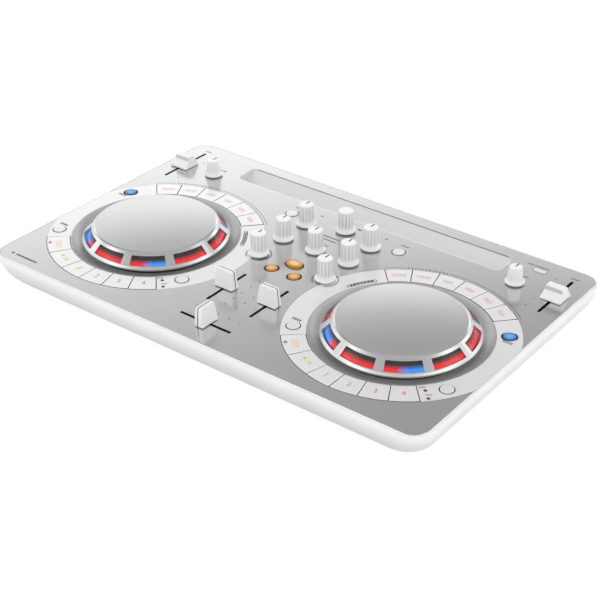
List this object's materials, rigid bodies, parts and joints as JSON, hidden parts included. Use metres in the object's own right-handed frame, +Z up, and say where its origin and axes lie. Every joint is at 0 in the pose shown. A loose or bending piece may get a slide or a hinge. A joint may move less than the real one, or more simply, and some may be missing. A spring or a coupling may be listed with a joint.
{
  "type": "dj controller",
  "caption": "Compact two-deck DJ controller: jog platters in lit bowls, ringed by pads, with a mixer of knobs and faders between them and a tablet groove along the rear.",
  "frame": {"origin": "on the ground under the middle of the body", "axes": "+X along the body from the left deck to the right deck, +Y from the front edge to the rear sockets, +Z up"},
  "size_m": [0.392, 0.2468, 0.051],
  "materials": {
    "panel_metal": "fine satin, silver",
    "shell_plastic": "polished white",
    "ring_plastic": "satin white",
    "pad_plastic": "satin white, lit legend",
    "button_white": "satin white",
    "button_blue": "translucent, lit blue",
    "button_amber": "translucent, lit amber",
    "knob_plastic": "satin white, fluted",
    "cap_plastic": "satin white",
    "platter_metal": "fine satin, silver",
    "light_guide": "translucent, lit red and blue",
    "circuit_board": "solder mask",
    "foot_rubber": "matt",
    "screw_steel": "plated"
  },
  "bodies": {
    "chassis": {"top_panel": "panel_metal", "bottom_shell": "shell_plastic", "deck_rings": "ring_plastic", "jog_light_guides": "light_guide", "circuit_boards": "circuit_board", "rubber_feet": "foot_rubber", "case_screws": "screw_steel"},
    "left_cue_pad": {"left_cue_pad": "pad_plastic"},
    "left_play_pad": {"left_play_pad": "pad_plastic"},
    "left_hot_cue_pad_1": {"left_hot_cue_pad_1": "pad_plastic"},
    "left_hot_cue_pad_2": {"left_hot_cue_pad_2": "pad_plastic"},
    "left_hot_cue_pad_3": {"left_hot_cue_pad_3": "pad_plastic"},
    "left_hot_cue_pad_4": {"left_hot_cue_pad_4": "pad_plastic"},
    "left_effect_pad_1": {"left_effect_pad_1": "pad_plastic"},
    "left_effect_pad_2": {"left_effect_pad_2": "pad_plastic"},
    "left_effect_pad_3": {"left_effect_pad_3": "pad_plastic"},
    "left_effect_pad_4": {"left_effect_pad_4": "pad_plastic"},
    "left_effect_pad_5": {"left_effect_pad_5": "pad_plastic"},
    "left_effect_pad_6": {"left_effect_pad_6": "pad_plastic"},
    "right_cue_pad": {"right_cue_pad": "pad_plastic"},
    "right_play_pad": {"right_play_pad": "pad_plastic"},
    "right_hot_cue_pad_1": {"right_hot_cue_pad_1": "pad_plastic"},
    "right_hot_cue_pad_2": {"right_hot_cue_pad_2": "pad_plastic"},
    "right_hot_cue_pad_3": {"right_hot_cue_pad_3": "pad_plastic"},
    "right_hot_cue_pad_4": {"right_hot_cue_pad_4": "pad_plastic"},
    "right_effect_pad_1": {"right_effect_pad_1": "pad_plastic"},
    "right_effect_pad_2": {"right_effect_pad_2": "pad_plastic"},
    "right_effect_pad_3": {"right_effect_pad_3": "pad_plastic"},
    "right_effect_pad_4": {"right_effect_pad_4": "pad_plastic"},
    "right_effect_pad_5": {"right_effect_pad_5": "pad_plastic"},
    "right_effect_pad_6": {"right_effect_pad_6": "pad_plastic"},
    "left_sync_button": {"left_sync_button": "button_blue"},
    "right_sync_button": {"right_sync_button": "button_blue"},
    "left_vinyl_button": {"left_vinyl_button": "button_white"},
    "right_vinyl_button": {"right_vinyl_button": "button_white"},
    "left_mode_button": {"left_mode_button": "button_white"},
    "right_mode_button": {"right_mode_button": "button_white"},
    "left_load_button": {"left_load_button": "button_white"},
    "right_load_button": {"right_load_button": "button_white"},
    "left_monitor_button": {"left_monitor_button": "button_amber"},
    "right_monitor_button": {"right_monitor_button": "button_amber"},
    "master_monitor_button": {"master_monitor_button": "button_amber"},
    "automix_button": {"automix_button": "button_white"},
    "left_high_knob": {"left_high_knob": "knob_plastic"},
    "right_high_knob": {"right_high_knob": "knob_plastic"},
    "left_low_knob": {"left_low_knob": "knob_plastic"},
    "right_low_knob": {"right_low_knob": "knob_plastic"},
    "left_level_knob": {"left_level_knob": "knob_plastic"},
    "right_level_knob": {"right_level_knob": "knob_plastic"},
    "master_level_knob": {"master_level_knob": "knob_plastic"},
    "browse_encoder_knob": {"browse_encoder_knob": "knob_plastic"},
    "monitor_mix_knob": {"monitor_mix_knob": "knob_plastic"},
    "monitor_level_knob": {"monitor_level_knob": "knob_plastic"},
    "left_channel_fader_cap": {"left_channel_fader_cap": "cap_plastic"},
    "right_channel_fader_cap": {"right_channel_fader_cap": "cap_plastic"},
    "crossfader_cap": {"crossfader_cap": "cap_plastic"},
    "left_tempo_fader_cap": {"left_tempo_fader_cap": "cap_plastic"},
    "right_tempo_fader_cap": {"right_tempo_fader_cap": "cap_plastic"},
    "left_jog_platter": {"left_jog_platter": "platter_metal"},
    "right_jog_platter": {"right_jog_platter": "platter_metal"}
  },
  "joints": [
    {"name": "left_jog_platter_spin", "type": "hinge", "parent": "chassis", "child": "left_jog_platter", "pos_m": [-0.115, -0.0248, 0.032], "axis": [0, 0, 1], "continuous": true},
    {"name": "right_jog_platter_spin", "type": "hinge", "parent": "chassis", "child": "right_jog_platter", "pos_m": [0.115, -0.0248, 0.032], "axis": [0, 0, 1], "continuous": true},
    {"name": "left_channel_fader_cap_slide", "type": "slide", "parent": "chassis", "child": "left_channel_fader_cap", "axis": [0, 1, 0], "range_m": [-0.0202, 0.0196]},
    {"name": "right_channel_fader_cap_slide", "type": "slide", "parent": "chassis", "child": "right_channel_fader_cap", "axis": [0, 1, 0], "range_m": [-0.0202, 0.0196]},
    {"name": "crossfader_cap_slide", "type": "slide", "parent": "chassis", "child": "crossfader_cap", "axis": [1, 0, 0], "range_m": [-0.0211, 0.0207]},
    {"name": "left_tempo_fader_cap_slide", "type": "slide", "parent": "chassis", "child": "left_tempo_fader_cap", "axis": [0, 1, 0], "range_m": [-0.02155, 0.02495]},
    {"name": "right_tempo_fader_cap_slide", "type": "slide", "parent": "chassis", "child": "right_tempo_fader_cap", "axis": [0, 1, 0], "range_m": [-0.02155, 0.02495]},
    {"name": "left_high_knob_turn", "type": "hinge", "parent": "chassis", "child": "left_high_knob", "pos_m": [-0.031, 0.057, 0.032], "axis": [0, 0, 1], "range_deg": [-140, 140]},
    {"name": "right_high_knob_turn", "type": "hinge", "parent": "chassis", "child": "right_high_knob", "pos_m": [0.031, 0.057, 0.032], "axis": [0, 0, 1], "range_deg": [-140, 140]},
    {"name": "left_low_knob_turn", "type": "hinge", "parent": "chassis", "child": "left_low_knob", "pos_m": [-0.031, 0.028, 0.032], "axis": [0, 0, 1], "range_deg": [-140, 140]},
    {"name": "right_low_knob_turn", "type": "hinge", "parent": "chassis", "child": "right_low_knob", "pos_m": [0.031, 0.028, 0.032], "axis": [0, 0, 1], "range_deg": [-140, 140]},
    {"name": "left_level_knob_turn", "type": "hinge", "parent": "chassis", "child": "left_level_knob", "pos_m": [-0.0315, -0.0015, 0.032], "axis": [0, 0, 1], "range_deg": [-140, 140]},
    {"name": "right_level_knob_turn", "type": "hinge", "parent": "chassis", "child": "right_level_knob", "pos_m": [0.0315, -0.0015, 0.032], "axis": [0, 0, 1], "range_deg": [-140, 140]},
    {"name": "master_level_knob_turn", "type": "hinge", "parent": "chassis", "child": "master_level_knob", "pos_m": [0, 0.028, 0.032], "axis": [0, 0, 1], "range_deg": [-140, 140]},
    {"name": "browse_encoder_knob_turn", "type": "hinge", "parent": "chassis", "child": "browse_encoder_knob", "pos_m": [0, 0.067, 0.032], "axis": [0, 0, 1], "continuous": true},
    {"name": "monitor_mix_knob_turn", "type": "hinge", "parent": "chassis", "child": "monitor_mix_knob", "pos_m": [-0.146, 0.079, 0.032], "axis": [0, 0, 1], "range_deg": [-140, 140]},
    {"name": "monitor_level_knob_turn", "type": "hinge", "parent": "chassis", "child": "monitor_level_knob", "pos_m": [0.145, 0.079, 0.032], "axis": [0, 0, 1], "range_deg": [-140, 140]},
    {"name": "left_sync_button_press", "type": "slide", "parent": "chassis", "child": "left_sync_button", "axis": [0, 0, -1], "range_m": [0, 0.0005], "stiffness_N_per_m": 300, "springref_m": -0.0002},
    {"name": "right_sync_button_press", "type": "slide", "parent": "chassis", "child": "right_sync_button", "axis": [0, 0, -1], "range_m": [0, 0.0005], "stiffness_N_per_m": 300, "springref_m": -0.0002},
    {"name": "left_vinyl_button_press", "type": "slide", "parent": "chassis", "child": "left_vinyl_button", "axis": [0, 0, -1], "range_m": [0, 0.0005], "stiffness_N_per_m": 300, "springref_m": -0.0002},
    {"name": "right_vinyl_button_press", "type": "slide", "parent": "chassis", "child": "right_vinyl_button", "axis": [0, 0, -1], "range_m": [0, 0.0005], "stiffness_N_per_m": 300, "springref_m": -0.0002},
    {"name": "left_mode_button_press", "type": "slide", "parent": "chassis", "child": "left_mode_button", "axis": [0, 0, -1], "range_m": [0, 0.0005], "stiffness_N_per_m": 300, "springref_m": -0.0002},
    {"name": "right_mode_button_press", "type": "slide", "parent": "chassis", "child": "right_mode_button", "axis": [0, 0, -1], "range_m": [0, 0.0005], "stiffness_N_per_m": 300, "springref_m": -0.0002},
    {"name": "left_load_button_press", "type": "slide", "parent": "chassis", "child": "left_load_button", "axis": [0, 0, -1], "range_m": [0, 0.0005], "stiffness_N_per_m": 300, "springref_m": -0.0002},
    {"name": "right_load_button_press", "type": "slide", "parent": "chassis", "child": "right_load_button", "axis": [0, 0, -1], "range_m": [0, 0.0005], "stiffness_N_per_m": 300, "springref_m": -0.0002},
    {"name": "left_monitor_button_press", "type": "slide", "parent": "chassis", "child": "left_monitor_button", "axis": [0, 0, -1], "range_m": [0, 0.0005], "stiffness_N_per_m": 300, "springref_m": -0.0002},
    {"name": "right_monitor_button_press", "type": "slide", "parent": "chassis", "child": "right_monitor_button", "axis": [0, 0, -1], "range_m": [0, 0.0005], "stiffness_N_per_m": 300, "springref_m": -0.0002},
    {"name": "master_monitor_button_press", "type": "slide", "parent": "chassis", "child": "master_monitor_button", "axis": [0, 0, -1], "range_m": [0, 0.0005], "stiffness_N_per_m": 300, "springref_m": -0.0002},
    {"name": "automix_button_press", "type": "slide", "parent": "chassis", "child": "automix_button", "axis": [0, 0, -1], "range_m": [0, 0.0005], "stiffness_N_per_m": 300, "springref_m": -0.0002},
    {"name": "left_cue_pad_press", "type": "slide", "parent": "chassis", "child": "left_cue_pad", "axis": [0, 0, -1], "range_m": [0, 0.0005], "stiffness_N_per_m": 300, "springref_m": -0.0002},
    {"name": "left_play_pad_press", "type": "slide", "parent": "chassis", "child": "left_play_pad", "axis": [0, 0, -1], "range_m": [0, 0.0005], "stiffness_N_per_m": 300, "springref_m": -0.0002},
    {"name": "right_cue_pad_press", "type": "slide", "parent": "chassis", "child": "right_cue_pad", "axis": [0, 0, -1], "range_m": [0, 0.0005], "stiffness_N_per_m": 300, "springref_m": -0.0002},
    {"name": "right_play_pad_press", "type": "slide", "parent": "chassis", "child": "right_play_pad", "axis": [0, 0, -1], "range_m": [0, 0.0005], "stiffness_N_per_m": 300, "springref_m": -0.0002},
    {"name": "left_hot_cue_pad_1_press", "type": "slide", "parent": "chassis", "child": "left_hot_cue_pad_1", "axis": [0, 0, -1], "range_m": [0, 0.0005], "stiffness_N_per_m": 300, "springref_m": -0.0002},
    {"name": "left_hot_cue_pad_2_press", "type": "slide", "parent": "chassis", "child": "left_hot_cue_pad_2", "axis": [0, 0, -1], "range_m": [0, 0.0005], "stiffness_N_per_m": 300, "springref_m": -0.0002},
    {"name": "left_hot_cue_pad_3_press", "type": "slide", "parent": "chassis", "child": "left_hot_cue_pad_3", "axis": [0, 0, -1], "range_m": [0, 0.0005], "stiffness_N_per_m": 300, "springref_m": -0.0002},
    {"name": "left_hot_cue_pad_4_press", "type": "slide", "parent": "chassis", "child": "left_hot_cue_pad_4", "axis": [0, 0, -1], "range_m": [0, 0.0005], "stiffness_N_per_m": 300, "springref_m": -0.0002},
    {"name": "left_effect_pad_1_press", "type": "slide", "parent": "chassis", "child": "left_effect_pad_1", "axis": [0, 0, -1], "range_m": [0, 0.0005], "stiffness_N_per_m": 300, "springref_m": -0.0002},
    {"name": "left_effect_pad_2_press", "type": "slide", "parent": "chassis", "child": "left_effect_pad_2", "axis": [0, 0, -1], "range_m": [0, 0.0005], "stiffness_N_per_m": 300, "springref_m": -0.0002},
    {"name": "left_effect_pad_3_press", "type": "slide", "parent": "chassis", "child": "left_effect_pad_3", "axis": [0, 0, -1], "range_m": [0, 0.0005], "stiffness_N_per_m": 300, "springref_m": -0.0002},
    {"name": "left_effect_pad_4_press", "type": "slide", "parent": "chassis", "child": "left_effect_pad_4", "axis": [0, 0, -1], "range_m": [0, 0.0005], "stiffness_N_per_m": 300, "springref_m": -0.0002},
    {"name": "left_effect_pad_5_press", "type": "slide", "parent": "chassis", "child": "left_effect_pad_5", "axis": [0, 0, -1], "range_m": [0, 0.0005], "stiffness_N_per_m": 300, "springref_m": -0.0002},
    {"name": "left_effect_pad_6_press", "type": "slide", "parent": "chassis", "child": "left_effect_pad_6", "axis": [0, 0, -1], "range_m": [0, 0.0005], "stiffness_N_per_m": 300, "springref_m": -0.0002},
    {"name": "right_hot_cue_pad_1_press", "type": "slide", "parent": "chassis", "child": "right_hot_cue_pad_1", "axis": [0, 0, -1], "range_m": [0, 0.0005], "stiffness_N_per_m": 300, "springref_m": -0.0002},
    {"name": "right_hot_cue_pad_2_press", "type": "slide", "parent": "chassis", "child": "right_hot_cue_pad_2", "axis": [0, 0, -1], "range_m": [0, 0.0005], "stiffness_N_per_m": 300, "springref_m": -0.0002},
    {"name": "right_hot_cue_pad_3_press", "type": "slide", "parent": "chassis", "child": "right_hot_cue_pad_3", "axis": [0, 0, -1], "range_m": [0, 0.0005], "stiffness_N_per_m": 300, "springref_m": -0.0002},
    {"name": "right_hot_cue_pad_4_press", "type": "slide", "parent": "chassis", "child": "right_hot_cue_pad_4", "axis": [0, 0, -1], "range_m": [0, 0.0005], "stiffness_N_per_m": 300, "springref_m": -0.0002},
    {"name": "right_effect_pad_1_press", "type": "slide", "parent": "chassis", "child": "right_effect_pad_1", "axis": [0, 0, -1], "range_m": [0, 0.0005], "stiffness_N_per_m": 300, "springref_m": -0.0002},
    {"name": "right_effect_pad_2_press", "type": "slide", "parent": "chassis", "child": "right_effect_pad_2", "axis": [0, 0, -1], "range_m": [0, 0.0005], "stiffness_N_per_m": 300, "springref_m": -0.0002},
    {"name": "right_effect_pad_3_press", "type": "slide", "parent": "chassis", "child": "right_effect_pad_3", "axis": [0, 0, -1], "range_m": [0, 0.0005], "stiffness_N_per_m": 300, "springref_m": -0.0002},
    {"name": "right_effect_pad_4_press", "type": "slide", "parent": "chassis", "child": "right_effect_pad_4", "axis": [0, 0, -1], "range_m": [0, 0.0005], "stiffness_N_per_m": 300, "springref_m": -0.0002},
    {"name": "right_effect_pad_5_press", "type": "slide", "parent": "chassis", "child": "right_effect_pad_5", "axis": [0, 0, -1], "range_m": [0, 0.0005], "stiffness_N_per_m": 300, "springref_m": -0.0002},
    {"name": "right_effect_pad_6_press", "type": "slide", "parent": "chassis", "child": "right_effect_pad_6", "axis": [0, 0, -1], "range_m": [0, 0.0005], "stiffness_N_per_m": 300, "springref_m": -0.0002}
  ]
}
